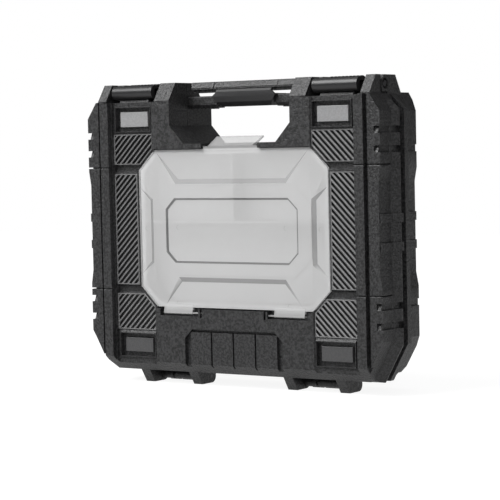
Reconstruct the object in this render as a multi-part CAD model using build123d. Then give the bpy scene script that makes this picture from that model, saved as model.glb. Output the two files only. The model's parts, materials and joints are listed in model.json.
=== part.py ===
from build123d import *
import os

# A small-parts organizer case, standing upright on its hinge feet with its latches and handle on top.
# The front shell holds a tray of compartments behind a clear lid, and hinges to the deeper rear shell.
# Frame in millimetres: +X to the right of someone facing the clear lid, +Y away from them, +Z up.
# The origin lies under the middle of the case, on the surface that its feet rest on.

# Overall sizes
case_depth = 71.0
half_width = 152.5
top_height = 272.0
belly_height = 11.8
wall = 2.5
side_wall = 4.0
fit_gap = 0.4
shoulder_height = top_height - 15.0
ledge_height = shoulder_height - 1.7

# Depths of the front faces, counted from the frontmost band
front_y = -case_depth / 2
rear_y = case_depth / 2
outer_band_y = front_y + 2.0
field_y = front_y + 4.5
recess_y = front_y + 7.0
seam_y = front_y + 32.0
front_wall_y = recess_y + 4.5

# Lengths that only reach clear of the case, for cuts
beyond = 10.0
overlap = 1.0

# Corners of the case outline
lower_corner_run = 18.0
lower_corner_rise = 32.7
upper_corner_run = 8.5
upper_corner_rise = 14.5
flange_proud = 5.5
flange_drop = 1.8
flange_y = seam_y - 3.5
flange_land = 1.5
flange_bevel = 7.0
rear_neck = 5.3
rear_neck_inset = 1.5
rear_rim = 6.2
rear_inset = 3.5
rear_corner = 5.0

# Handle opening and the towers beside it
opening_half = 64.0
opening_floor = top_height - 55.0
opening_corner_run = 15.0
opening_corner_rise = 16.5
tower_half = opening_half + 16.5

# Bands down both sides of the front, from the outermost inwards
outer_band_inner = half_width - 10.3
band_outer = outer_band_inner - 3.0
band_inner = band_outer - 9.2
strip_outer = band_inner - 2.0
band_groove_depth = 5.5

# Clear lid, and the window that it covers
lid_half = 100.4
lid_top = opening_floor - 5.0
lid_bottom = 70.9
lid_corner_run = 17.6
lid_corner_rise = 18.0
lid_y = recess_y - 0.3
lid_thick = 1.5
lid_raise = 2.0
lid_edge = 1.2
lid_web = 2.6
lid_wall_run = 4.2
lid_gap = 0.6
lid_swing_gap = 1.4
lid_bead = 1.3
lid_bead_proud = 0.4
lid_mark_radius = 2.2
lid_mark_depth = 0.3
plateau_half = 84.0
plateau_drop = 30.6
plateau_lift = 27.1
panel_half = 70.3
panel_drop = 43.2
panel_lift = 39.7
panel_corner = 9.8
panel_depth = 1.4
hollow_reach = 27.0
hollow_top_half = 57.0
hollow_top_slope = 1.03
hollow_bottom_half = 55.0
hollow_bottom_slope = 1.15
hollow_side_lift = 41.2
hollow_side_drop = 45.6
hollow_side_reach = 4.0
hollow_side_slope = 1.05
lid_hinge_y = lid_y + 0.6
lid_hinge_z = lid_bottom - 4.9
lid_knuckle_radius = 2.3
lid_knuckle_blend = 3.0
lid_knuckle_inner = 43.5
lid_knuckle_outer = 75.0
lid_pin_radius = 1.5
lid_boss_outer = 37.0
lid_boss_inner = 35.0
lid_relief_inner = 33.0
lid_pocket_outer = 78.7
running_gap = 0.05
lid_tab_half = 29.0
lid_tab_neck_half = 23.5
lid_tab_tip_half = 25.0
lid_tab_tip_y = lid_y + 16.8
lid_tab_tip_z = lid_top + 10.5
lid_tab_base = 2.4

# Fine lines across the bands, level with the gaps between the ribbed strips
cross_groove_low = lid_bottom + 15.1
cross_groove_high = lid_top - 15.5
cross_groove_width = 4.0
cross_groove_depth = 0.5
cross_line_width = 1.2
cross_line_depth = 2.4
side_line_depth = 1.0
channel_half = lid_half - 14.4
channel_slant = 2.0
channel_rise = 0.3
trough_half = 5.2
trough_floor_half = 2.6
trough_depth = 2.4

# Tray of compartments
tray_margin = 3.0
tray_wall = 1.6
tray_rim = 1.2
tray_back_y = seam_y - 0.8
tray_shelf_z = lid_top - 64.5
tray_guide = 3.0
tray_guide_thick = 1.4
divider_half = 0.8

# Corner plates and ribbed strips
plate_outer = strip_outer - 7.0
plate_inner = plate_outer - 31.0
lower_plate_low = belly_height + 16.7
lower_plate_high = lower_plate_low + 13.0
upper_plate_high = ledge_height - 8.5
upper_plate_low = upper_plate_high - 13.6
plate_spans = ((lower_plate_low, lower_plate_high), (upper_plate_low, upper_plate_high))
plate_frame_margin = 5.0
plate_rim_margin = 4.6
plate_gap = 3.9
plate_frame_proud = 1.8
plate_frame_lift = 3.0
plate_floor = 3.0
plate_thick = 2.5
strip_floor = 2.0
strip_thick = 0.8
strip_rim = 0.8
strip_clear = 2.6
strip_corner_step = 1.8
strip_lid_gap = 2.2
strip_line_gaps = (2.8, 5.8, 4.2, 4.0)
strip_plate_gaps = (6.6, 7.7)
rib_height = 2.1
rib_pitch = 5.7
rib_foot = 3.6
rib_crest_start = 0.4
rib_crest_end = 1.8

# Bumper pads, belts and slots on the sides
bumper_proud = 2.0
bumper_back_y = flange_y - flange_bevel
lower_bumper_low = belly_height + lower_corner_rise
lower_bumper_high = cross_groove_low + 5.0
upper_bumper_low = cross_groove_high - 3.5
upper_bumper_high = shoulder_height - 15.7
bumper_ramp = 12.0
bumper_end = 3.0
belt_proud = 2.0
belt_height = 7.5
belt_half_gap = 8.4
belt_middle = (lid_top + lid_bottom) / 2 - 2.55
belt_spans = ((belt_middle - belt_half_gap - belt_height, belt_middle - belt_half_gap),
              (belt_middle + belt_half_gap, belt_middle + belt_half_gap + belt_height))
slot_height = 5.8
slot_notch = 3.9
slot_notch_y = outer_band_y + 0.4
slot_notch_lean = 2.4
slot_floor = 0.3
slot_step = 1.3
outer_slot_rise = 13.0
inner_slot_rise = 29.4
upper_slot_top = upper_bumper_high + 0.3
slot_starts = (lower_bumper_low + outer_slot_rise, lower_bumper_low + inner_slot_rise,
               upper_slot_top - inner_slot_rise - slot_height,
               upper_slot_top - outer_slot_rise - slot_height)
rear_slot_depth = 2.0

# Finger grip at the foot of the front
grip_half = 52.0
grip_top = lid_bottom - 19.4
grip_corner = 8.0
grip_depth = 3.6
grip_block_count = 4
grip_block_half = 46.0
grip_block_gap = 1.6
grip_block_drop = 2.5
grip_block_step = 0.6

# Bottom bevel of the front, and the slopes at the top
bevel_run = 14.2
bevel_rise = 12.8
rear_bevel = 8.0
tower_slope_run = 11.0
tower_slope_rise = 15.9

# Latches, between an ear beside the tower and an ear at the end
latch_inner = tower_half + 4.8
latch_outer = band_inner - 0.2
block_inner = latch_outer + 5.2
block_outer = block_inner + 9.0
ear_inner = latch_outer + 0.35
ear_outer = block_outer + 1.0
latch_pin_y = seam_y - 3.0
latch_pin_z = top_height - 7.5
latch_pin_radius = 2.0
latch_pin_head = 2.6
latch_bore_radius = 4.6
latch_bore_depth = 2.5
latch_barrel_radius = 6.0
latch_rib_radius = top_height - latch_pin_z
latch_lip_radius = 6.2
latch_lip_y = recess_y + 6.2
latch_lip_drop = 0.2
latch_plate_low = 3.0
latch_rib_count = 9
latch_rib_start = 6.5
latch_rib_step = (latch_outer - latch_inner - 2 * latch_rib_start) / (latch_rib_count - 0.5)
latch_rib_width = latch_rib_step / 2
catch_gap = 0.4
catch_half = 1.2
catch_front = 3.0
catch_back = 4.4
catch_inset = 6.0
block_front_y = field_y
block_back_y = seam_y - 9.0
ear_front_y = block_back_y + 0.5
ear_chamfer = 4.0
ear_top_back_y = seam_y + 14.5
ear_foot_back_y = seam_y + 23.5
deck_wall_y = seam_y + 5.7
deck_wall_top = latch_pin_z - 2.5

# Handle
rail_half = opening_half - 4.4
rail_bottom = top_height - 6.8
rail_front_y = seam_y + 0.3
rail_back_y = seam_y + 15.0
rail_back_run = 3.2
rail_back_drop = 2.4
rail_joint = 34.8
rail_joint_width = 1.2
rail_lip = 0.8
rail_lip_run = 0.7
rail_lean = 2.6
rail_corner = 1.2
cap_proud = 0.5
cap_corner = 3.0
bar_top = rail_bottom - 5.8
bar_bottom = bar_top - 10.7
bar_front_y = rail_front_y + 1.5
bar_back_y = seam_y + 16.5
bar_corner = 2.5
bar_bottom_rise = 3.0
core_front_y = rail_front_y + 3.5
core_low = bar_bottom + 3.5
spine_bottom = bar_top + 3.1
grip_sleeve_half = opening_half - 31.0
sleeve_front_y = seam_y - 3.5
sleeve_back_y = seam_y + 19.5
sleeve_bottom = bar_bottom + 0.8
sleeve_top = rail_bottom - 0.4
sleeve_corner_run = 6.0
sleeve_corner_rise = 4.0
sleeve_middle_rise = 9.0
sleeve_end_run = 7.0
sleeve_front_run = 1.6
core_half = 16.0
skirt_thick = 1.7
finger_rib_count = 5
finger_rib_step = 4.2
finger_rib_width = 1.6
finger_rib_proud = 0.8
tongue_front_y = seam_y + 4.5
tongue_back_y = seam_y + 13.0
tongue_length = 6.5

# Case hinges
hinge_y = seam_y + 5.0
hinge_z = belly_height / 2
hinge_pin_radius = 1.5
hinge_length = 63.0
hinge_outer = 109.0
hinge_starts = (-hinge_outer, hinge_outer - hinge_length)
ear_width = 9.5
ear_toe_run = 7.8
short_knuckle = 11.5
knuckle_gap = 2.0
knuckle_radius = 4.0
foot_back_y = seam_y + 23.5
foot_lean = 4.0
foot_front_y = hinge_y + 9.0
foot_room = 3.0


def slab(points, y0, y1):
    """Solid with a flat outline of (x, z) points, reaching from depth y0 to depth y1."""
    outline = Face(Wire.make_polygon([(x, y0, z) for x, z in points]))
    return Solid.extrude(outline, Vector(0, y1 - y0, 0))


def bar(points, x0, x1):
    """Solid with a flat section of (y, z) points, reaching from x0 to x1."""
    section = Face(Wire.make_polygon([(x0, y, z) for y, z in points]))
    return Solid.extrude(section, Vector(x1 - x0, 0, 0))


def post(points, z0, z1):
    """Solid with a flat section of (x, y) points, reaching from height z0 to height z1."""
    section = Face(Wire.make_polygon([(x, y, z0) for x, y in points]))
    return Solid.extrude(section, Vector(0, 0, z1 - z0))


def block(x0, x1, y0, y1, z0, z1):
    return Solid.make_box(x1 - x0, y1 - y0, z1 - z0, Plane(origin=(x0, y0, z0)))


def rod(radius, x0, x1, y, z):
    """Round bar along X."""
    return Solid.make_cylinder(radius, x1 - x0, Plane(origin=(x0, y, z), z_dir=(1, 0, 0)))


def frustum(points_a, y_a, points_b, y_b):
    """Solid that changes evenly from one outline at depth y_a to another at depth y_b."""
    first = Wire.make_polygon([(x, y_a, z) for x, z in points_a])
    last = Wire.make_polygon([(x, y_b, z) for x, z in points_b])
    return Solid.make_loft([first, last], ruled=True)


def both_ways(points):
    """Closed outline from the points of its right-hand half, listed from the bottom to the top."""
    return points + [(-x, z) for x, z in reversed(points)]


def eight_sided(half, bottom, top, run, rise):
    """Outline with its four corners cut off."""
    return both_ways([(half - run, bottom), (half, bottom + rise), (half, top - rise), (half - run, top)])


def oblong(x0, x1, z0, z1, margin=0.0):
    """Oblong outline, grown by a margin on every side."""
    left, right = x0 - margin, x1 + margin
    low, high = z0 - margin, z1 + margin
    return [(left, low), (right, low), (right, high), (left, high)]


def mirrored(shape):
    return shape.mirror(Plane.YZ)


def both_sides(shape):
    return [shape, mirrored(shape)]


def direction(start, end):
    length = ((end[0] - start[0]) ** 2 + (end[1] - start[1]) ** 2) ** 0.5
    return (end[0] - start[0]) / length, (end[1] - start[1]) / length


def shrunk(points, amount):
    """Outline points moved inwards by an even amount, or outwards when it is negative."""
    following = points[1:] + points[:1]
    area = sum(x0 * z1 - x1 * z0 for (x0, z0), (x1, z1) in zip(points, following))
    inwards = amount if area > 0 else -amount
    moved = []
    for before, here, after in zip(points[-1:] + points[:-1], points, following):
        in_x, in_z = direction(before, here)
        out_x, out_z = direction(here, after)
        share = inwards / (1 + in_x * out_x + in_z * out_z)
        moved.append((here[0] - share * (in_z + out_z), here[1] + share * (in_x + out_x)))
    return moved


def case_outline(half, bottom):
    """Case outline with the handle opening and the latch bays in its top."""
    return both_ways([
        (half - lower_corner_run, bottom),
        (half, bottom + lower_corner_rise),
        (half, shoulder_height - upper_corner_rise),
        (half_width - upper_corner_run, shoulder_height),
        (block_inner, shoulder_height),
        (block_inner, ledge_height),
        (tower_half, ledge_height),
        (tower_half, top_height),
        (opening_half, top_height),
        (opening_half, opening_floor + opening_corner_rise),
        (opening_half - opening_corner_run, opening_floor),
    ])


def rim_outline(proud, drop):
    """Case outline without the openings in its top, grown at the sides and the bottom."""
    half = half_width + proud
    return both_ways([
        (half - lower_corner_run, belly_height - drop),
        (half, belly_height - drop + lower_corner_rise),
        (half, shoulder_height - upper_corner_rise),
        (half_width - upper_corner_run, shoulder_height),
    ])


def lid_outline(grow):
    """Eight-cornered outline of the clear lid, grown by an even amount."""
    return shrunk(eight_sided(lid_half, lid_bottom, lid_top, lid_corner_run, lid_corner_rise), -grow)


def without_middle(shape):
    """Keep only the part of a rim that runs down the sides and along the bottom."""
    inner = block_inner - overlap
    ahead = front_y - overlap
    return shape - block(-inner, inner, ahead, rear_y + overlap, belly_height + wall, top_height)


def side_form(proud, drop):
    """Side of the front shell, with the flare that ends in the rim of the seam."""
    flare_y = flange_y - flange_bevel
    form = frustum(rim_outline(proud, 0), flare_y, rim_outline(proud + flange_proud, drop), flange_y)
    form += slab(rim_outline(proud + flange_proud, drop), flange_y, flange_y + flange_land)
    if proud > 0:
        form += slab(rim_outline(proud, 0), outer_band_y + overlap, flare_y)
    return without_middle(form)


def bumpers(base, face, y0, y1):
    """Four pads on the sides, which rise from the base to their face on a long ramp."""
    root = base - side_wall / 2
    lower = slab([(root, lower_bumper_low), (half_width - lower_corner_run, belly_height + bumper_end),
                  (face, lower_bumper_low + bumper_end), (face, lower_bumper_high),
                  (base, lower_bumper_high + bumper_ramp), (root, lower_bumper_high + bumper_ramp)],
                 y0, y1)
    upper = slab([(root, upper_bumper_low - bumper_ramp), (base, upper_bumper_low - bumper_ramp),
                  (face, upper_bumper_low), (face, upper_bumper_high),
                  (half_width - upper_corner_run, shoulder_height), (root, upper_bumper_high - overlap)],
                 y0, y1)
    return both_sides(lower) + both_sides(upper)


def side_slots():
    """Slots through the pads and the flare, with a leaning floor where they start in the front face."""
    cuts = []
    notch_x = half_width - slot_notch
    far_x = half_width + beyond
    for z0 in slot_starts:
        z1 = z0 + slot_height
        notch = bar([(front_y - overlap, z0), (slot_notch_y, z0), (slot_notch_y + slot_notch_lean, z1),
                     (front_y - overlap, z1)], notch_x, far_x)
        floor_x = half_width - slot_floor
        step_y = bumper_back_y - overlap
        past_y = seam_y + overlap
        floor = post([(floor_x, front_y), (floor_x, step_y), (floor_x + slot_step, step_y + slot_step),
                      (floor_x + slot_step, past_y), (far_x, past_y), (far_x, front_y)], z0, z1)
        cuts += both_sides(notch) + both_sides(floor)
    return cuts


def strip_outlines():
    """Right-hand outlines of the three ribbed strips, by name."""
    inner_low = lid_half - lid_corner_run + strip_corner_step
    beside_lid = lid_half + strip_lid_gap
    edge = strip_clear * 2 ** 0.5
    high_sum = lid_half + lid_top - lid_corner_rise + edge
    low_sum = lid_half - lid_bottom - lid_corner_rise + edge
    upper_low = cross_groove_high + strip_line_gaps[0]
    upper_high = upper_plate_low - strip_plate_gaps[0]
    middle_high = cross_groove_high - strip_line_gaps[1]
    middle_low = cross_groove_low + strip_line_gaps[2]
    lower_high = cross_groove_low - strip_line_gaps[3]
    lower_low = lower_plate_high + strip_plate_gaps[1]
    return {
        "upper": [(strip_outer, upper_low), (strip_outer, upper_high), (inner_low, upper_high),
                  (inner_low, high_sum - inner_low), (high_sum - upper_low, upper_low)],
        "middle": [(strip_outer, middle_low), (strip_outer, middle_high),
                   (beside_lid, middle_high), (beside_lid, middle_low)],
        "lower": [(strip_outer, lower_low), (strip_outer, lower_high), (lower_high + low_sum, lower_high),
                  (inner_low, inner_low - low_sum), (inner_low, lower_low)],
    }


def ribbed_strip(points):
    """Thin pad with a fine rim and slanting ribs on its face."""
    floor_y = recess_y + strip_floor
    face_y = floor_y - strip_thick
    crest_y = face_y - rib_height
    pad = slab(points, face_y, floor_y)
    inside = slab(shrunk(points, strip_rim / 2), crest_y - overlap, floor_y)
    low = min(z for _, z in points)
    high = max(z for _, z in points)
    left = min(x for x, _ in points)
    run = max(x for x, _ in points) - left
    start = low - rib_foot
    while start < high + run:
        section = Face(Wire.make_polygon([
            (left, face_y + strip_thick / 2, start),
            (left, face_y, start),
            (left, crest_y, start + rib_crest_start),
            (left, crest_y, start + rib_crest_end),
            (left, face_y, start + rib_foot),
            (left, face_y + strip_thick / 2, start + rib_foot),
        ]))
        pad += Solid.extrude(section, Vector(run, 0, -run)) & inside
        start += rib_pitch
    rim = slab(points, crest_y, face_y)
    return pad + (rim - slab(shrunk(points, strip_rim), crest_y - overlap, face_y))


def plate_frame(z0, z1):
    """Raised surround of a corner plate, with a slope on its upper side under a ribbed strip."""
    foot = oblong(plate_inner, plate_outer, z0, z1, plate_frame_margin)
    rim = oblong(plate_inner, plate_outer, z0, z1, plate_rim_margin)
    if z1 < lid_bottom:
        foot = foot[:2] + [(x, z + plate_frame_lift) for x, z in foot[2:]]
    return frustum(foot, recess_y + overlap / 2, rim, recess_y - plate_frame_proud)


def plate_pocket(z0, z1):
    """Pocket of a corner plate, which leaves a deep gap all round it."""
    outline = oblong(plate_inner, plate_outer, z0, z1, plate_gap)
    return slab(outline, recess_y - plate_frame_proud - overlap, recess_y + plate_floor)


def front_cavity():
    """Space inside the front shell, open at the seam."""
    space = slab(shrunk(case_outline(half_width, belly_height), wall), front_wall_y, seam_y + overlap)
    inner = half_width - side_wall
    space &= block(-inner, inner, front_y, rear_y, 0, top_height)
    bevel = bevel_rise / bevel_run
    lift = wall * (1 + bevel ** 2) ** 0.5
    start_y = front_wall_y - overlap
    start_z = belly_height + bevel_rise + lift
    toe_y = front_y + (start_z - belly_height - wall) / bevel
    space -= bar([(start_y, 0), (start_y, start_z - bevel * (start_y - front_y)),
                  (toe_y, belly_height + wall), (toe_y, 0)], -half_width, half_width)
    slope = tower_slope_rise / tower_slope_run
    base = top_height - tower_slope_rise - wall * (1 + slope ** 2) ** 0.5
    crown_y = field_y + (top_height - wall - base) / slope
    over = top_height + overlap
    space -= bar([(start_y, base + slope * (start_y - field_y)), (crown_y, top_height - wall),
                  (crown_y, over), (start_y, over)], -half_width, half_width)
    tab_room = lid_tab_half + 7
    return space - block(-tab_room, tab_room, front_y, lid_tab_tip_y + 2, lid_top - 2, opening_floor)


def front_steps():
    """Everything that is stepped back from the frontmost bands."""
    ahead = front_y - overlap
    far_x = half_width + beyond
    slant_x = channel_half - channel_slant
    cut = block(-band_inner, band_inner, ahead, field_y, 0, top_height + overlap)
    channel = post([(band_inner + channel_rise, ahead), (strip_outer + channel_rise, recess_y),
                    (channel_half, recess_y), (slant_x, field_y), (slant_x, ahead)], 0, ledge_height)
    groove = block(band_outer, outer_band_inner, ahead, front_y + band_groove_depth, 0, top_height)
    outer = block(outer_band_inner, far_x, ahead, outer_band_y, 0, top_height)
    for piece in (channel, groove, outer):
        for side in both_sides(piece):
            cut += side
    return cut


def cross_grooves():
    """Shallow valleys with a fine line in them, across the bands and between the ribbed strips."""
    cuts = []
    half = cross_groove_width / 2
    line_half = cross_line_width / 2
    far_x = half_width + beyond
    bands = ((band_inner, band_outer, front_y), (outer_band_inner, far_x, outer_band_y))
    for z in (cross_groove_low, cross_groove_high):
        for x0, x1, y in bands:
            floor_y = y + cross_groove_depth
            valley = bar([(y - 1, z - half - 1), (y - 1, z + half + 1), (floor_y, z)], x0, x1)
            line = block(x0, x1, y - 1, y + cross_line_depth, z - line_half, z + line_half)
            cuts += both_sides(valley) + both_sides(line)
        cuts += both_sides(block(half_width - side_line_depth, far_x, front_y, bumper_back_y,
                                 z - line_half, z + line_half))
        trough = bar([(recess_y - 1, z - trough_half), (recess_y - 1, z + trough_half),
                      (recess_y + trough_depth, z + trough_floor_half),
                      (recess_y + trough_depth, z - trough_floor_half)], channel_half, strip_outer)
        cuts += both_sides(trough)
    return cuts


def grip_recess():
    """Hollow at the foot of the front, without its raised blocks."""
    floor_y = field_y + grip_depth
    hollow = slab(both_ways([(grip_half, 0), (grip_half, grip_top - grip_corner),
                             (grip_half - grip_corner, grip_top)]), front_y, floor_y)
    width = (2 * grip_block_half + grip_block_gap) / grip_block_count
    for index in range(grip_block_count):
        x0 = -grip_block_half + index * width
        hollow -= block(x0, x0 + width - grip_block_gap, field_y + grip_block_step, floor_y + overlap,
                        0, grip_top - grip_block_drop)
    return hollow


def latch_catch():
    """Low ridge under the lip of a closed latch, rounded so that the lip can snap over it."""
    foot = ledge_height - overlap
    crest = latch_pin_z - latch_lip_drop - latch_lip_radius - catch_gap
    return bar([(latch_lip_y - catch_front, foot), (latch_lip_y - catch_half, crest),
                (latch_lip_y + catch_half, crest), (latch_lip_y + catch_back, foot)],
               latch_inner + catch_inset, latch_outer - catch_inset)


def end_block():
    """Block outside a latch on the front shell."""
    foot = shoulder_height - 2
    lean = (top_height - shoulder_height) * tower_slope_run / tower_slope_rise
    return bar([(block_front_y, foot), (block_front_y, shoulder_height), (block_front_y + lean, top_height),
                (block_back_y, top_height), (block_back_y, foot)], block_inner, block_outer)


def hinge_ear(x0):
    """Foot of the front shell that holds one end of a hinge pin."""
    toe_y = front_y + bevel_run
    root = belly_height + overlap
    ear = bar([(toe_y, root), (toe_y, belly_height), (toe_y + ear_toe_run, 0), (hinge_y, 0),
               (hinge_y, 2 * hinge_z), (seam_y, 2 * hinge_z), (seam_y, root)], x0, x0 + ear_width)
    return ear + rod(hinge_z, x0, x0 + ear_width, hinge_y, hinge_z)


def lid_seat():
    """Everything that the lid, its tab and its hinge take out of the front shell."""
    ahead = front_y - overlap
    ledge_y = lid_y + lid_thick + 1.3
    sill = lid_half - lid_corner_run
    cuts = [
        slab(lid_outline(lid_gap), ahead, ledge_y),
        block(-sill, sill, ahead, ledge_y, lid_bottom - lid_swing_gap, lid_bottom),
        slab(lid_outline(-tray_margin + fit_gap), ahead, seam_y + overlap),
    ]
    notch = lid_tab_half + overlap
    cuts.append(block(-notch, notch, ahead, lid_tab_tip_y - 0.5, lid_top + lid_gap, top_height))
    room = lid_knuckle_radius + 0.6
    low = lid_hinge_z - room
    high = lid_bottom + overlap
    pocket = block(lid_boss_outer, lid_pocket_outer, ahead, lid_hinge_y, low, high)
    pocket += rod(room, lid_boss_outer, lid_pocket_outer, lid_hinge_y, lid_hinge_z)
    pocket += block(lid_boss_outer, lid_pocket_outer, lid_hinge_y, lid_hinge_y + room, lid_hinge_z, high)
    relief = block(lid_relief_inner, lid_boss_inner, ahead, lid_hinge_y + lid_pin_radius,
                   low - overlap, high)
    pin_hole = rod(lid_pin_radius + running_gap, lid_relief_inner, lid_boss_outer + overlap,
                   lid_hinge_y, lid_hinge_z)
    return cuts + both_sides(pocket) + both_sides(relief) + both_sides(pin_hole)


def front_shell():
    far_x = half_width + 2 * beyond
    shell = slab(case_outline(half_width, belly_height), front_y, seam_y)
    shell += side_form(0, flange_drop)
    for pad in bumpers(half_width, half_width + bumper_proud, outer_band_y, bumper_back_y):
        shell += pad
    belts = side_form(belt_proud, flange_drop)
    for z0, z1 in belt_spans:
        shell += belts & block(-far_x, far_x, front_y, seam_y, z0, z1)
    shell -= front_steps()
    for z0, z1 in plate_spans:
        for side in both_sides(plate_frame(z0, z1)):
            shell += side
    shell -= front_cavity()
    for z0, z1 in plate_spans:
        for side in both_sides(plate_pocket(z0, z1)):
            shell -= side
    for cut in cross_grooves() + side_slots() + [grip_recess()]:
        shell -= cut
    for points in strip_outlines().values():
        for side in both_sides(slab(points, front_y, recess_y + strip_floor)):
            shell -= side
    bevel = bevel_rise / bevel_run
    ahead = front_y - overlap
    shell -= bar([(ahead, belly_height + bevel_rise + bevel * overlap), (ahead, -beyond),
                  (front_y + bevel_run, -beyond), (front_y + bevel_run, belly_height)], -far_x, far_x)
    slope_z = top_height - tower_slope_rise
    slope_y = field_y + tower_slope_run
    shell -= bar([(field_y, slope_z), (slope_y, top_height), (slope_y, top_height + beyond),
                  (ahead, top_height + beyond), (ahead, slope_z)], -far_x, far_x)
    for side in both_sides(end_block()) + both_sides(latch_catch()):
        shell += side
    for cut in lid_seat():
        shell -= cut
    for start in hinge_starts:
        end = start + hinge_length
        shell -= block(start - foot_room, end + foot_room, front_y, rear_y, 0, belly_height)
        shell += hinge_ear(start)
        shell += hinge_ear(end - ear_width)
        shell -= rod(hinge_pin_radius, start - overlap, end + overlap, hinge_y, hinge_z)
    return shell


def lid_recesses():
    """Hollows between the four raised arms of the lid, and the lowered panel where the arms meet."""
    crest_y = lid_y - lid_raise
    over_y = crest_y - 0.2
    run = lid_wall_run * (lid_y - over_y) / lid_raise
    top_low = lid_top - plateau_drop + lid_wall_run
    bottom_high = lid_bottom + plateau_lift - lid_wall_run
    side_half = plateau_half + lid_wall_run
    top_end = top_low + hollow_reach * hollow_top_slope
    bottom_end = bottom_high - hollow_reach * hollow_bottom_slope
    floors = [
        both_ways([(hollow_top_half, top_low), (hollow_top_half + hollow_reach, top_end)]),
        both_ways([(hollow_bottom_half + hollow_reach, bottom_end), (hollow_bottom_half, bottom_high)]),
    ]
    side_low = lid_bottom + hollow_side_lift
    side_high = lid_top - hollow_side_drop
    end = lid_half + hollow_side_reach
    flare = (end - side_half) * hollow_side_slope
    side = [(side_half, side_low), (end, side_low - flare),
            (end, side_high + flare), (side_half, side_high)]
    floors += [side, [(-x, z) for x, z in reversed(side)]]
    cuts = [frustum(floor, lid_y, shrunk(floor, -run), over_y) for floor in floors]
    panel_low = lid_bottom + panel_lift
    panel = eight_sided(panel_half, panel_low, lid_top - panel_drop, panel_corner, panel_corner)
    cuts.append(frustum(shrunk(panel, -0.2), over_y, shrunk(panel, 1.8), crest_y + panel_depth))
    return cuts


def window_lid():
    plate = lid_outline(0)
    plateau = eight_sided(plateau_half, lid_bottom + plateau_lift, lid_top - plateau_drop,
                          lid_corner_run, lid_corner_rise)
    lid = frustum(shrunk(plate, lid_edge), lid_y, plateau, lid_y - lid_raise)
    for cut in lid_recesses():
        lid -= cut
    lid += slab(plate, lid_y, lid_y + lid_thick)
    bead = slab(plate, lid_y - lid_bead_proud, lid_y + overlap)
    lid += bead - slab(shrunk(plate, lid_bead), front_y, lid_y + 2 * overlap)
    lid -= slab(shrunk(plateau, lid_raise), lid_y - lid_raise + lid_web, lid_y + lid_thick + overlap)
    middle_z = (lid_top + lid_bottom) / 2
    panel_y = lid_y - lid_raise + panel_depth
    marks = ((lid_half - 8.0, middle_z, lid_y), (panel_half - 13.0, middle_z + 1, panel_y),
             (panel_half - 11.0, lid_bottom + 3.6, lid_y))
    for x, z, y in marks:
        seat = Plane(origin=(x, y + lid_mark_depth, z), z_dir=(0, -1, 0))
        for side in both_sides(Solid.make_cylinder(lid_mark_radius, overlap, seat)):
            lid -= side
    base = lid_tab_half
    neck = lid_tab_neck_half
    step_z = lid_top + lid_tab_base
    lid += block(-base, base, lid_y, lid_y + lid_thick, lid_top - overlap, step_z)
    lip = bar([(lid_y, lid_top + 1), (lid_y, step_z + 0.4), (lid_tab_tip_y - 0.6, lid_tab_tip_z + 0.6),
               (lid_tab_tip_y, lid_tab_tip_z - 0.8), (lid_y + lid_tab_base, lid_top + 1)], -base, base)
    lip &= post([(-neck, lid_y - 1), (neck, lid_y - 1), (lid_tab_tip_half, lid_tab_tip_y),
                 (-lid_tab_tip_half, lid_tab_tip_y)], lid_top, lid_tab_tip_z + beyond)
    lid += lip
    knuckle = rod(lid_knuckle_radius, lid_knuckle_inner, lid_knuckle_outer, lid_hinge_y, lid_hinge_z)
    blend_z = lid_bottom + lid_knuckle_blend
    knuckle += bar([(lid_hinge_y - lid_knuckle_radius, lid_hinge_z), (lid_y, blend_z),
                    (lid_y + lid_thick, blend_z), (lid_y + lid_thick, lid_hinge_z)],
                   lid_knuckle_inner, lid_knuckle_outer)
    pin_inner = lid_boss_inner + 0.2
    knuckle += rod(lid_pin_radius, pin_inner, lid_knuckle_inner + overlap, lid_hinge_y, lid_hinge_z)
    for half in both_sides(knuckle):
        lid += half
    return lid


def organizer_tray():
    rim_y = lid_y + lid_thick + 0.1
    inside = slab(lid_outline(-tray_margin - tray_wall), rim_y - overlap, tray_back_y - tray_wall)
    tray = slab(lid_outline(-tray_margin), rim_y, tray_back_y) - inside
    tray += slab(lid_outline(lid_gap - 0.3), rim_y, rim_y + tray_rim) - inside
    shelf_half = lid_half - tray_margin - 0.5
    half = tray_wall / 2
    deep_y = tray_back_y - 0.5
    tray += block(-shelf_half, shelf_half, rim_y, deep_y, tray_shelf_z - half, tray_shelf_z + half)
    guide_top = lid_top - tray_margin - half
    for z0, z1 in ((tray_shelf_z, tray_shelf_z + tray_guide), (guide_top - tray_guide, guide_top)):
        guide = block(divider_half, divider_half + tray_guide_thick, rim_y + 1, deep_y, z0, z1)
        for side in both_sides(guide):
            tray += side
    return tray


def tray_divider():
    rim_y = lid_y + lid_thick + 0.1
    low = tray_shelf_z + tray_wall / 2 + 0.2
    high = lid_top - tray_margin - tray_wall - 0.2
    return block(-divider_half, divider_half, rim_y + 0.3, tray_back_y - tray_wall - 0.2, low, high)


def corner_plate(z0, z1):
    floor_y = recess_y + plate_floor
    plate = block(plate_inner, plate_outer, floor_y - plate_thick, floor_y, z0, z1)
    front_edges = plate.faces().sort_by(Axis.Y)[0].edges()
    return chamfer(front_edges, 0.3)


def rear_top_slope():
    return bar([(ear_top_back_y, top_height + overlap), (ear_top_back_y, top_height),
                (ear_foot_back_y, shoulder_height), (rear_y + overlap, shoulder_height),
                (rear_y + overlap, top_height + overlap)], -half_width, half_width)


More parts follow.
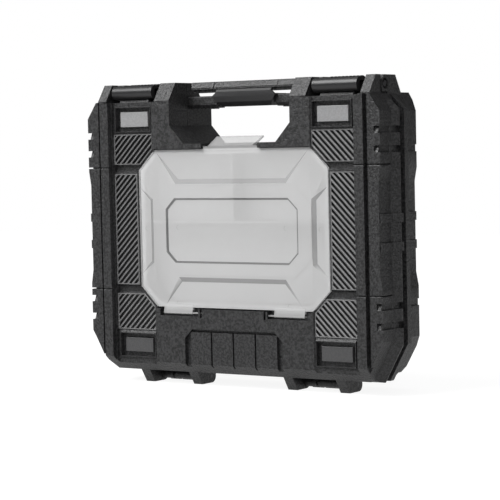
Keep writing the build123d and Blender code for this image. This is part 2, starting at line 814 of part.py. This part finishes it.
def rear_cavity():
    """Space inside the rear shell, open at the seam."""
    outline = shrunk(case_outline(half_width - rear_inset, belly_height + 0.5), wall)
    space = slab(outline, seam_y + fit_gap - overlap, rear_y - wall)
    slope = (top_height - shoulder_height) / (ear_foot_back_y - ear_top_back_y)
    shift = (wall * (1 + slope ** 2) ** 0.5 - wall) / slope
    ceiling = shoulder_height - wall
    space -= bar([(ear_top_back_y - shift, top_height - wall), (ear_foot_back_y - shift, ceiling),
                  (rear_y, ceiling), (rear_y, top_height)], -half_width, half_width)
    lift = wall * 2 ** 0.5
    toe = rear_y - rear_bevel
    floor_z = belly_height + wall + 0.5
    return space - bar([(toe - lift, 0), (toe - lift, floor_z),
                        (rear_y, floor_z + rear_bevel + lift), (rear_y, 0)], -half_width, half_width)


def latch_ear(x0, x1, x0_front):
    """Upright of the rear shell that holds one end of a latch pin, and reaches over the front shell."""
    under = shoulder_height + 0.5
    foot = ledge_height - 2
    back = bar([(seam_y + fit_gap, foot), (seam_y + fit_gap, top_height), (ear_top_back_y, top_height),
                (ear_foot_back_y, shoulder_height), (ear_foot_back_y, foot)], x0, x1)
    front = bar([(ear_front_y, under), (ear_front_y, top_height - ear_chamfer),
                 (ear_front_y + ear_chamfer, top_height), (seam_y + overlap, top_height),
                 (seam_y + overlap, under)], x0_front, x1)
    return back + front


def knuckles(start):
    """Rear shell's two barrels of one hinge, with the foot behind them."""
    left = start + ear_width + 0.5
    right = start + hinge_length - ear_width - 0.5
    split = left + short_knuckle
    root = belly_height + 2
    shapes = []
    for x0, x1 in ((left, split), (split + knuckle_gap, right)):
        foot = bar([(hinge_y - 1, hinge_z), (hinge_y - 1, root), (foot_back_y + foot_lean, root),
                    (foot_back_y + foot_lean, belly_height), (foot_back_y, 0), (foot_front_y, 0),
                    (foot_front_y - 2.5, 3.5), (hinge_y + 2, hinge_z - 3.4)], x0, x1)
        shapes.append(rod(knuckle_radius, x0, x1, hinge_y, hinge_z) + foot)
    return shapes


def handle_tongues():
    start = opening_half - 0.5
    end = opening_half + tongue_length
    return [block(start, end, tongue_front_y, tongue_back_y, bar_bottom + 2, bar_top - 2),
            block(-end, -start, tongue_front_y, tongue_back_y, bar_bottom + 2, bar_top - 2)]


def rear_shell():
    start_y = seam_y + fit_gap
    neck_y = seam_y + rear_neck
    rim_y = neck_y + rear_rim
    low = belly_height + 0.5
    body_half = half_width - rear_inset
    pad_half = body_half + 2 * bumper_proud
    shell = slab(case_outline(half_width - rear_neck_inset, low), start_y, neck_y)
    shell += slab(case_outline(body_half, low), neck_y, rear_y)
    shell += without_middle(slab(rim_outline(flange_proud, flange_drop - 0.5), neck_y, rim_y))
    for pad in bumpers(body_half, pad_half, rim_y, rear_y):
        shell += pad
    for z0, z1 in belt_spans:
        for side in both_sides(block(body_half - 4, body_half + bumper_proud, rim_y, rear_y, z0, z1)):
            shell += side
    slot_x = pad_half - rear_slot_depth
    for z0 in slot_starts[1:3]:
        slot = block(slot_x, half_width + beyond, rim_y, rear_y + overlap, z0, z0 + slot_height)
        for side in both_sides(slot):
            shell -= side
    bay_inner = tower_half - overlap
    bay_outer = block_inner + overlap
    bay_foot = ledge_height - 2 * wall
    shoulder = block(bay_inner, bay_outer, ear_foot_back_y, rear_y, bay_foot, shoulder_height)
    deck_wall = block(bay_inner, bay_outer, deck_wall_y, deck_wall_y + wall, bay_foot, deck_wall_top)
    for side in both_sides(shoulder) + both_sides(deck_wall):
        shell += side
    shell -= rear_top_slope()
    corner_half = half_width + rear_corner - 2
    for side in both_sides(post([(corner_half, rear_y - rear_corner - 1), (corner_half, rear_y + 1),
                                 (corner_half - rear_corner - 4, rear_y + 1)], 0, shoulder_height + 1)):
        shell -= side
    toe = rear_y - rear_bevel
    shell -= bar([(toe, belly_height - 5), (toe, belly_height), (rear_y + 1, belly_height + rear_bevel + 1),
                  (rear_y + 1, belly_height - 5)], -half_width - beyond, half_width + beyond)
    for side in both_sides(latch_ear(ear_inner, ear_outer, ear_inner)):
        shell += side
    for side in both_sides(latch_ear(bay_inner, latch_inner - 0.4, tower_half + 0.5)):
        shell += side
    shell -= rear_cavity()
    bore_floor = ear_outer - latch_bore_depth
    bore = rod(latch_bore_radius, bore_floor, ear_outer + overlap, latch_pin_y, latch_pin_z)
    pin_hole = rod(latch_pin_radius, tower_half + 0.5, ear_outer, latch_pin_y, latch_pin_z)
    for side in both_sides(pin_hole + bore):
        shell -= side
    for start in hinge_starts:
        end = start + hinge_length
        shell -= block(start - foot_room, end + foot_room, front_y, rear_y, 0, low)
    for start in hinge_starts:
        for barrel in knuckles(start):
            shell += barrel
        shell -= rod(hinge_pin_radius + running_gap, start, start + hinge_length, hinge_y, hinge_z)
    for tongue in handle_tongues():
        shell -= tongue
    return shell


def rail_section(grow):
    """Section of the top rail, with a fine lip along its lower front edge."""
    front = rail_front_y - grow
    back = rail_back_y + grow
    top = top_height
    lip_z = rail_bottom + rail_lip
    return [(front, rail_bottom), (front, lip_z), (front + rail_lip_run, lip_z),
            (front + rail_lip_run, lip_z + rail_lip), (front + rail_lip_run / 2, lip_z + rail_lip),
            (front + rail_lean, top - rail_corner), (front + rail_lean + rail_corner, top),
            (back - rail_back_run, top), (back, top - rail_back_drop), (back, rail_bottom)]


def handle_core():
    front = rail_front_y - overlap
    back = rail_back_y + overlap
    over = top_height + overlap
    core = bar(rail_section(0), -rail_half + cap_proud, rail_half - cap_proud)
    cap = bar(rail_section(cap_proud), rail_joint, rail_half)
    cap &= post([(rail_joint, front), (rail_half - cap_corner, front), (rail_half, front + cap_corner),
                 (rail_half, back), (rail_joint, back)], rail_bottom - overlap, over)
    for side in both_sides(cap):
        core += side
    joint = block(rail_joint - rail_joint_width, rail_joint, front, back, rail_bottom + rail_lip, over)
    joint -= bar(rail_section(-cap_proud), 0, rail_half)
    for side in both_sides(joint):
        core -= side
    spine_y = bar_front_y + cap_proud
    core_back_y = rail_back_y - 2
    spine_top = rail_bottom + overlap
    core += bar([(spine_y, spine_bottom), (spine_y, spine_top), (core_back_y, spine_top),
                 (core_back_y, spine_bottom)], -rail_half + overlap, rail_half - overlap)
    end = opening_half - 0.15
    rise = bar_bottom_rise
    side_bar = bar([(bar_front_y, bar_bottom + rise), (bar_front_y + bar_corner, bar_bottom),
                    (bar_back_y - rise, bar_bottom), (bar_back_y, bar_bottom + rise),
                    (bar_back_y, bar_top - bar_corner), (bar_back_y - bar_corner, bar_top),
                    (bar_front_y + bar_corner / 2, bar_top), (bar_front_y, bar_top - bar_corner / 2)],
                   grip_sleeve_half - 1.5, end)
    for side in both_sides(side_bar) + handle_tongues():
        core += side
    core += block(-grip_sleeve_half, grip_sleeve_half, core_front_y, core_back_y,
                  core_low, bar_top - overlap)
    core += block(-core_half, core_half, core_front_y, core_back_y, bar_top - 2, spine_bottom + overlap)
    for index in range(finger_rib_count):
        x = grip_sleeve_half + finger_rib_step * (index + 1)
        rib = block(x, x + finger_rib_width, core_front_y + overlap, bar_back_y - rise,
                    bar_bottom - finger_rib_proud, bar_bottom + overlap)
        for side in both_sides(rib):
            core += side
    return core


def handle_grip(core):
    """Soft sleeve round the bar, with slanting ends and a skirt that rises to the rail in front."""
    front = sleeve_front_y
    back = sleeve_back_y
    low = sleeve_bottom
    roof = bar_top + 0.6
    wide = grip_sleeve_half
    middle = bar_top - 1
    run = sleeve_corner_run
    corner_z = low + sleeve_corner_rise
    middle_z = low + sleeve_middle_rise
    lip_y = front + sleeve_front_run
    section = bar([(front + run, low), (back - run, low), (back - sleeve_front_run, corner_z),
                   (back, middle_z), (back - sleeve_front_run, roof), (lip_y + skirt_thick, roof),
                   (lip_y + skirt_thick, sleeve_top), (lip_y, sleeve_top),
                   (front + sleeve_front_run / 4, sleeve_top - 2), (front, middle_z), (lip_y, corner_z)],
                  -wide - beyond, wide + beyond)
    skirt_half = wide - sleeve_end_run / 2
    ends = slab(both_ways([(wide - sleeve_end_run, low), (wide + 0.4, middle - 0.6),
                           (wide + 0.4, middle + 0.6), (skirt_half, middle + sleeve_corner_rise),
                           (skirt_half, sleeve_top)]), front - overlap, back + overlap)
    return (section & ends) - core


def latch():
    """Right-hand latch: a roll-fronted lever with its barrel on the latch pin."""
    lip_z = latch_pin_z - latch_lip_drop
    roof = latch_pin_z + latch_plate_low
    lip = rod(latch_lip_radius, latch_inner, latch_outer, latch_lip_y, lip_z)
    lip -= block(latch_inner - 1, latch_outer + 1, latch_lip_y - 0.3, latch_lip_y + beyond,
                 lip_z - beyond, roof + latch_lip_drop)
    plate = bar([(latch_lip_y, lip_z + latch_lip_radius), (latch_pin_y, latch_pin_z + latch_barrel_radius),
                 (latch_pin_y, roof), (latch_lip_y - 1, roof)], latch_inner, latch_outer)
    barrel = rod(latch_barrel_radius, latch_inner, latch_outer, latch_pin_y, latch_pin_z)
    lever = lip + plate + barrel
    reach = latch_barrel_radius
    for index in range(latch_rib_count):
        x = latch_inner + latch_rib_start + latch_rib_step * index
        rib = rod(latch_rib_radius, x, x + latch_rib_width, latch_pin_y, latch_pin_z)
        lever += rib & block(x, x + latch_rib_width, latch_pin_y - reach, latch_pin_y + reach,
                             roof, top_height + overlap)
    bore_radius = latch_pin_radius + running_gap
    return lever - rod(bore_radius, latch_inner - overlap, latch_outer + overlap, latch_pin_y, latch_pin_z)


def latch_pin():
    """Pin with a head that lies in the counterbore of the outer ear."""
    seat = ear_outer - latch_bore_depth
    shank = rod(latch_pin_radius, tower_half + 0.7, seat + overlap, latch_pin_y, latch_pin_z)
    return shank + rod(latch_pin_head, seat, ear_outer - 0.3, latch_pin_y, latch_pin_z)


def hinge_pin(start):
    return rod(hinge_pin_radius, start + 0.2, start + hinge_length - 0.2, hinge_y, hinge_z)


def all_pieces():
    pieces = {}
    pieces["front_shell"] = front_shell()
    pieces["rear_shell"] = rear_shell()
    pieces["window_lid"] = window_lid()
    pieces["organizer_tray"] = organizer_tray()
    pieces["tray_divider"] = tray_divider()
    core = handle_core()
    pieces["handle_core"] = core
    pieces["handle_grip"] = handle_grip(core)
    pieces["latch_right"] = latch()
    pieces["latch_left"] = mirrored(pieces["latch_right"])
    pieces["latch_pin_right"] = latch_pin()
    pieces["latch_pin_left"] = mirrored(pieces["latch_pin_right"])
    for name, start in zip(("left", "right"), hinge_starts):
        pieces["hinge_pin_" + name] = hinge_pin(start)
    for level, (z0, z1) in zip(("lower", "upper"), plate_spans):
        plate = corner_plate(z0, z1)
        pieces["corner_plate_right_" + level] = plate
        pieces["corner_plate_left_" + level] = mirrored(plate)
    for level, points in strip_outlines().items():
        strip = ribbed_strip(points)
        pieces["ribbed_strip_right_" + level] = strip
        pieces["ribbed_strip_left_" + level] = mirrored(strip)
    return pieces


os.makedirs("parts", exist_ok=True)
for name, shape in all_pieces().items():
    solids = shape.solids()
    print(name, len(solids), "solid(s),", round(shape.volume / 1000, 2), "cm3")
    export_step(shape, "parts/" + name + ".step")
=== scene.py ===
import json
import math

import bpy
from mathutils import Matrix, Vector

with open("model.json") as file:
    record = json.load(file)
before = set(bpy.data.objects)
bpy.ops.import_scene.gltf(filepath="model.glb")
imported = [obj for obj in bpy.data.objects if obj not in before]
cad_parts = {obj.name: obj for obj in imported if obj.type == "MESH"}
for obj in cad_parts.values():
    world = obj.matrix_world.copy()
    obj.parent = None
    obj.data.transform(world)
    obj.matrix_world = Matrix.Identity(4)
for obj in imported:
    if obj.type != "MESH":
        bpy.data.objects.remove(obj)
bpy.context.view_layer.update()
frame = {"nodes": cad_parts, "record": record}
nodes = frame["nodes"]
mm = 0.001


# Camera, to the right of the case and a little above it

azimuth = math.radians(34.0)
elevation = math.radians(3.15)
roll = math.radians(-1.26)
distance = 1708.83 * mm
target = Vector((18.32, -28.0, 123.09)) * mm
sensor_width = 36.0
lens = 140.66

back = Vector((math.sin(azimuth) * math.cos(elevation),
               -math.cos(azimuth) * math.cos(elevation),
               math.sin(elevation)))
right = Vector((math.cos(azimuth), math.sin(azimuth), 0.0))
up = back.cross(right)
rolled_right = math.cos(roll) * right + math.sin(roll) * up
rolled_up = math.cos(roll) * up - math.sin(roll) * right

camera_data = bpy.data.cameras.new("camera")
camera_data.lens = lens
camera_data.sensor_width = sensor_width
camera_data.clip_start = 0.05
camera_data.clip_end = 30.0
camera = bpy.data.objects.new("camera", camera_data)
bpy.context.scene.collection.objects.link(camera)
turn = Matrix((rolled_right, rolled_up, back)).transposed().to_4x4()
camera.matrix_world = Matrix.Translation(target + distance * back) @ turn
bpy.context.scene.camera = camera
bpy.context.scene.view_settings.view_transform = "Standard"


# Shader helpers

def new_material(name):
    """Material with its nodes and links."""
    material = bpy.data.materials.new(name)
    material.use_nodes = True
    return material, material.node_tree.nodes, material.node_tree.links


def grain(tree_nodes, links, size, height, detail=3.0):
    """Fine grain: a noise and the bump that it makes, with the given size and height in metres."""
    place = tree_nodes.new("ShaderNodeTexCoord")
    noise = tree_nodes.new("ShaderNodeTexNoise")
    noise.inputs["Scale"].default_value = 1.0 / size
    noise.inputs["Detail"].default_value = detail
    noise.inputs["Roughness"].default_value = 0.6
    bump = tree_nodes.new("ShaderNodeBump")
    bump.inputs["Strength"].default_value = 1.0
    bump.inputs["Distance"].default_value = height
    links.new(place.outputs["Object"], noise.inputs["Vector"])
    links.new(noise.outputs["Fac"], bump.inputs["Height"])
    return noise, bump


def one_axis(tree_nodes, links, kind, axis):
    """One axis of the piece's own coordinates, Object, or of its surface direction, Normal."""
    place = tree_nodes.new("ShaderNodeTexCoord")
    split = tree_nodes.new("ShaderNodeSeparateXYZ")
    links.new(place.outputs[kind], split.inputs["Vector"])
    return split.outputs[axis]


def part_of_range(tree_nodes, links, value, low, high):
    """Map a value from low to high onto 0 to 1."""
    span = tree_nodes.new("ShaderNodeMapRange")
    span.inputs["From Min"].default_value = low
    span.inputs["From Max"].default_value = high
    links.new(value, span.inputs["Value"])
    return span.outputs["Result"]


def calculate(tree_nodes, links, operation, first, second=None):
    """One Math node on one or two values."""
    step = tree_nodes.new("ShaderNodeMath")
    step.operation = operation
    links.new(first, step.inputs[0])
    if second is not None:
        links.new(second, step.inputs[1])
    return step.outputs[0]


def straight_ahead(tree_nodes, links, low, high):
    """1 on the faces that look ahead or back, and 0 on those that slant."""
    facing = calculate(tree_nodes, links, "ABSOLUTE", one_axis(tree_nodes, links, "Normal", "Y"))
    return part_of_range(tree_nodes, links, facing, low, high)


def grey_between(tree_nodes, links, factor, first, last):
    """Grey that goes from the first to the last level with the factor."""
    ramp = tree_nodes.new("ShaderNodeValToRGB")
    ramp.color_ramp.elements[0].color = (first, first, first, 1.0)
    ramp.color_ramp.elements[1].color = (last, last, last, 1.0)
    links.new(factor, ramp.inputs["Fac"])
    return ramp.outputs["Color"]


def multiply_colour(material, grey):
    """Multiply a material's base colour by a grey."""
    tree_nodes = material.node_tree.nodes
    links = material.node_tree.links
    base = tree_nodes["Principled BSDF"].inputs["Base Color"]
    product = tree_nodes.new("ShaderNodeMix")
    product.data_type = "RGBA"
    product.blend_type = "MULTIPLY"
    product.inputs[0].default_value = 1.0
    links.new(base.links[0].from_socket, product.inputs[6])
    links.new(grey, product.inputs[7])
    links.new(product.outputs[2], base)


def paint_shade_by_depth(material, front, behind, share):
    """Painted shade: darken a material to the given share between two depths, in millimetres."""
    tree_nodes = material.node_tree.nodes
    links = material.node_tree.links
    depth = one_axis(tree_nodes, links, "Object", "Y")
    hollow_shade = part_of_range(tree_nodes, links, depth, front * mm, behind * mm)
    multiply_colour(material, grey_between(tree_nodes, links, hollow_shade, 1.0, share))


def paint_light_by_slant(material, low, high, slanted, ahead):
    """Painted light and shade by slant: give a material one share of its colour where it slants, and
    another where it looks ahead or back.
    """
    tree_nodes = material.node_tree.nodes
    links = material.node_tree.links
    facing = straight_ahead(tree_nodes, links, low, high)
    multiply_colour(material, grey_between(tree_nodes, links, facing, slanted, ahead))


# Materials

mottle_start = 0.4
mottle_end = 0.6


def moulded(name, colour, roughness, grain_size, grain_height, variation=0.12):
    """Moulded plastic: an even colour with faint mottling, and a fine grain, its sizes in millimetres."""
    material, tree_nodes, links = new_material(name)
    shader = tree_nodes["Principled BSDF"]
    noise, bump = grain(tree_nodes, links, grain_size * mm, grain_height * mm)
    ramp = tree_nodes.new("ShaderNodeValToRGB")
    low = [channel * (1.0 - variation) for channel in colour]
    high = [channel * (1.0 + variation) for channel in colour]
    ramp.color_ramp.elements[0].position = mottle_start
    ramp.color_ramp.elements[0].color = (*low, 1.0)
    ramp.color_ramp.elements[1].position = mottle_end
    ramp.color_ramp.elements[1].color = (*high, 1.0)
    links.new(noise.outputs["Fac"], ramp.inputs["Fac"])
    links.new(ramp.outputs["Color"], shader.inputs["Base Color"])
    links.new(bump.outputs["Normal"], shader.inputs["Normal"])
    shader.inputs["Roughness"].default_value = roughness
    return material


case_black = moulded("case_black", colour=(0.034, 0.034, 0.035), roughness=0.38,
                     grain_size=2.0, grain_height=0.75, variation=0.6)
latch_black = moulded("latch_black", colour=(0.024, 0.024, 0.025), roughness=0.34,
                      grain_size=0.9, grain_height=0.03)
grip_rubber = moulded("grip_rubber", colour=(0.022, 0.022, 0.023), roughness=0.55,
                      grain_size=0.8, grain_height=0.10)
strip_grey = moulded("strip_grey", colour=(0.50, 0.50, 0.505), roughness=0.30,
                     grain_size=0.8, grain_height=0.03)
plate_light = moulded("plate_light", colour=(0.37, 0.37, 0.375), roughness=0.38,
                      grain_size=1.2, grain_height=0.03, variation=0.08)
plate_dark = moulded("plate_dark", colour=(0.095, 0.095, 0.097), roughness=0.38,
                     grain_size=1.2, grain_height=0.03, variation=0.10)
tray_grey = moulded("tray_grey", colour=(0.86, 0.86, 0.87), roughness=0.40,
                    grain_size=4.0, grain_height=0.02, variation=0.03)

# The ribs get painted light: a painted highlight on their slanted edges, duller crests and painted shade in
# the hollows between them

rib_flank_y = -29.2
rib_foot_y = -28.2
hollow_shade_share = 0.02
# Painted shade, darker towards the feet of the ribs
paint_shade_by_depth(strip_grey, rib_flank_y, rib_foot_y, hollow_shade_share)
# Painted highlight on the slanted rib edges, with the crests dimmed
paint_light_by_slant(strip_grey, low=0.90, high=0.995, slanted=1.0, ahead=0.42)

# Painted shade: the walls of the tray and its divider are painted darker than its back, as less light falls
# on them

paint_light_by_slant(tray_grey, low=0.85, high=0.97, slanted=0.2, ahead=1.0)

lid_top = 212.0 * mm
lid_tab_step = 1.0 * mm
lid_tab_level = 0.6
# Painted shade on the lid's slanting walls, from this grey up to the flat grey
lid_painted_shade_grey = 0.04
lid_flat_grey = 0.94
lid_ripple_size = 9.0 * mm
lid_ripple_height = 0.05 * mm


def clear_plastic():
    """Clear plastic with painted shade where it slants, and an even painted grey on its tab in place of
    that shade.
    """
    material, tree_nodes, links = new_material("clear_lid")
    shader = tree_nodes["Principled BSDF"]
    noise, bump = grain(tree_nodes, links, lid_ripple_size, lid_ripple_height, 1.0)
    links.new(bump.outputs["Normal"], shader.inputs["Normal"])
    # Painted shade mask: the slanting walls of the lid are painted dark
    ahead = straight_ahead(tree_nodes, links, 0.84, 0.985)
    height = one_axis(tree_nodes, links, "Object", "Z")
    tab = part_of_range(tree_nodes, links, height, lid_top, lid_top + lid_tab_step)
    level = tree_nodes.new("ShaderNodeMix")
    level.inputs["B"].default_value = lid_tab_level
    links.new(tab, level.inputs["Factor"])
    links.new(ahead, level.inputs["A"])
    grey = grey_between(tree_nodes, links, level.outputs[0], lid_painted_shade_grey, lid_flat_grey)
    links.new(grey, shader.inputs["Base Color"])
    shader.inputs["Roughness"].default_value = 0.3
    shader.inputs["Specular IOR Level"].default_value = 0.12
    shader.inputs["IOR"].default_value = 1.49
    shader.inputs["Alpha"].default_value = 0.46
    return material


def pin_metal():
    """Dark plated steel of the pins."""
    material, tree_nodes, links = new_material("pin_steel")
    shader = tree_nodes["Principled BSDF"]
    noise, bump = grain(tree_nodes, links, 0.5 * mm, 0.01 * mm)
    links.new(bump.outputs["Normal"], shader.inputs["Normal"])
    shader.inputs["Base Color"].default_value = (0.12, 0.12, 0.125, 1.0)
    shader.inputs["Metallic"].default_value = 1.0
    shader.inputs["Roughness"].default_value = 0.35
    return material


slot_materials = {
    "case_black": case_black,
    "latch_black": latch_black,
    "grip_rubber": grip_rubber,
    "strip_grey": strip_grey,
    "plate_light": plate_light,
    "plate_dark": plate_dark,
    "tray_grey": tray_grey,
    "clear_lid": clear_plastic(),
    "pin_steel": pin_metal(),
}


# The CAD pieces keep their meshes. Their sharp edges are broken by a small bevel, as mouldings have.

edge_radius = {
    "case_black": 0.45,
    "latch_black": 0.5,
    "grip_rubber": 0.8,
    "strip_grey": 0.45,
    "plate_light": 0.25,
    "plate_dark": 0.25,
    "tray_grey": 0.3,
    "clear_lid": 0.35,
    "pin_steel": 0.2,
}
same_point = 0.002 * mm
same_plane = math.radians(1.0)
sharp_edge = math.radians(24.0)


def soften(piece, radius):
    """Join the flat facets of a CAD mesh and round its edges."""
    weld = piece.modifiers.new("weld", "WELD")
    weld.merge_threshold = same_point
    flat = piece.modifiers.new("flat", "DECIMATE")
    flat.decimate_type = "DISSOLVE"
    flat.angle_limit = same_plane
    bevel = piece.modifiers.new("bevel", "BEVEL")
    bevel.width = radius * mm
    bevel.segments = 2
    bevel.limit_method = "ANGLE"
    bevel.angle_limit = sharp_edge
    bevel.harden_normals = False
    bevel.use_clamp_overlap = True
    normals = piece.modifiers.new("normals", "WEIGHTED_NORMAL")
    normals.keep_sharp = True


for entry in frame["record"]["subparts"]:
    piece = nodes[entry["node"]]
    slot_name = entry["material_slot"]
    piece.data.materials.clear()
    piece.data.materials.append(slot_materials[slot_name])
    for polygon in piece.data.polygons:
        polygon.use_smooth = True
    soften(piece, edge_radius[slot_name])


# Floor, backdrop and studio light

floor_half = 2.4
floor_base = 0.25
floor_glow_near = 0.90
floor_glow_far = 1.0
floor_fade_start = 0.35
floor_fade_end = 1.6
floor_gloss_share = 0.65


def plane(name, half, height):
    """Square plane around the origin."""
    mesh = bpy.data.meshes.new(name)
    corners = [(-half, -half, height), (half, -half, height), (half, half, height), (-half, half, height)]
    mesh.from_pydata(corners, [], [(0, 1, 2, 3)])
    made = bpy.data.objects.new(name, mesh)
    bpy.context.scene.collection.objects.link(made)
    return made


def bright_to_rays(name):
    """Pale matt surface that camera and glass see as white, gloss as pale, with the shadows kept on it."""
    material, tree_nodes, links = new_material(name)
    shader = tree_nodes["Principled BSDF"]
    shader.inputs["Base Color"].default_value = (floor_base, floor_base, floor_base, 1.0)
    shader.inputs["Roughness"].default_value = 0.9
    shader.inputs["Specular IOR Level"].default_value = 0.0
    shader.inputs["Emission Color"].default_value = (1.0, 1.0, 1.0, 1.0)
    rays = tree_nodes.new("ShaderNodeLightPath")
    gloss = tree_nodes.new("ShaderNodeMath")
    gloss.operation = "MULTIPLY"
    gloss.inputs[1].default_value = floor_gloss_share
    links.new(rays.outputs["Is Glossy Ray"], gloss.inputs[0])
    seen = calculate(tree_nodes, links, "MAXIMUM", rays.outputs["Is Camera Ray"], gloss.outputs[0])
    bright = calculate(tree_nodes, links, "MAXIMUM", seen, rays.outputs["Is Transmission Ray"])
    place = tree_nodes.new("ShaderNodeTexCoord")
    away = tree_nodes.new("ShaderNodeVectorMath")
    away.operation = "LENGTH"
    links.new(place.outputs["Object"], away.inputs[0])
    fade = tree_nodes.new("ShaderNodeMapRange")
    fade.inputs["From Min"].default_value = floor_fade_start
    fade.inputs["From Max"].default_value = floor_fade_end
    fade.inputs["To Min"].default_value = floor_glow_near
    fade.inputs["To Max"].default_value = floor_glow_far
    links.new(away.outputs["Value"], fade.inputs["Value"])
    glow = calculate(tree_nodes, links, "MULTIPLY", bright, fade.outputs["Result"])
    links.new(glow, shader.inputs["Emission Strength"])
    return material


floor = plane("floor", floor_half, 0.0)
floor.data.materials.append(bright_to_rays("floor_white"))

ambient = 0.10
world = bpy.data.worlds.new("studio")
bpy.context.scene.world = world
world.use_nodes = True
world_nodes = world.node_tree.nodes
world_links = world.node_tree.links
background = world_nodes["Background"]
background.inputs["Color"].default_value = (1.0, 1.0, 1.0, 1.0)
world_rays = world_nodes.new("ShaderNodeLightPath")
world_level = world_nodes.new("ShaderNodeMapRange")
world_level.inputs["To Min"].default_value = ambient
world_level.inputs["To Max"].default_value = 1.0
world_links.new(world_rays.outputs["Is Camera Ray"], world_level.inputs["Value"])
world_links.new(world_level.outputs["Result"], background.inputs["Strength"])

case_middle = Vector((0.0, 0.0, 0.13))


def lamp(name, place, size, power):
    """Square or oblong lamp aimed at the middle of the case, its size in metres and its power in watts."""
    data = bpy.data.lights.new(name, "AREA")
    data.shape = "RECTANGLE"
    data.size = size[0]
    data.size_y = size[1]
    data.energy = power
    made = bpy.data.objects.new(name, data)
    made.location = place
    made.rotation_euler = (case_middle - Vector(place)).to_track_quat("-Z", "Y").to_euler()
    bpy.context.scene.collection.objects.link(made)


lamp("key", place=(-0.6, -0.85, 1.3), size=(1.0, 1.0), power=27.0)
lamp("overhead", place=(0.1, 0.1, 1.7), size=(1.6, 1.0), power=6.0)
lamp("front_right", place=(1.5, -1.7, 0.9), size=(0.8, 0.8), power=10.0)
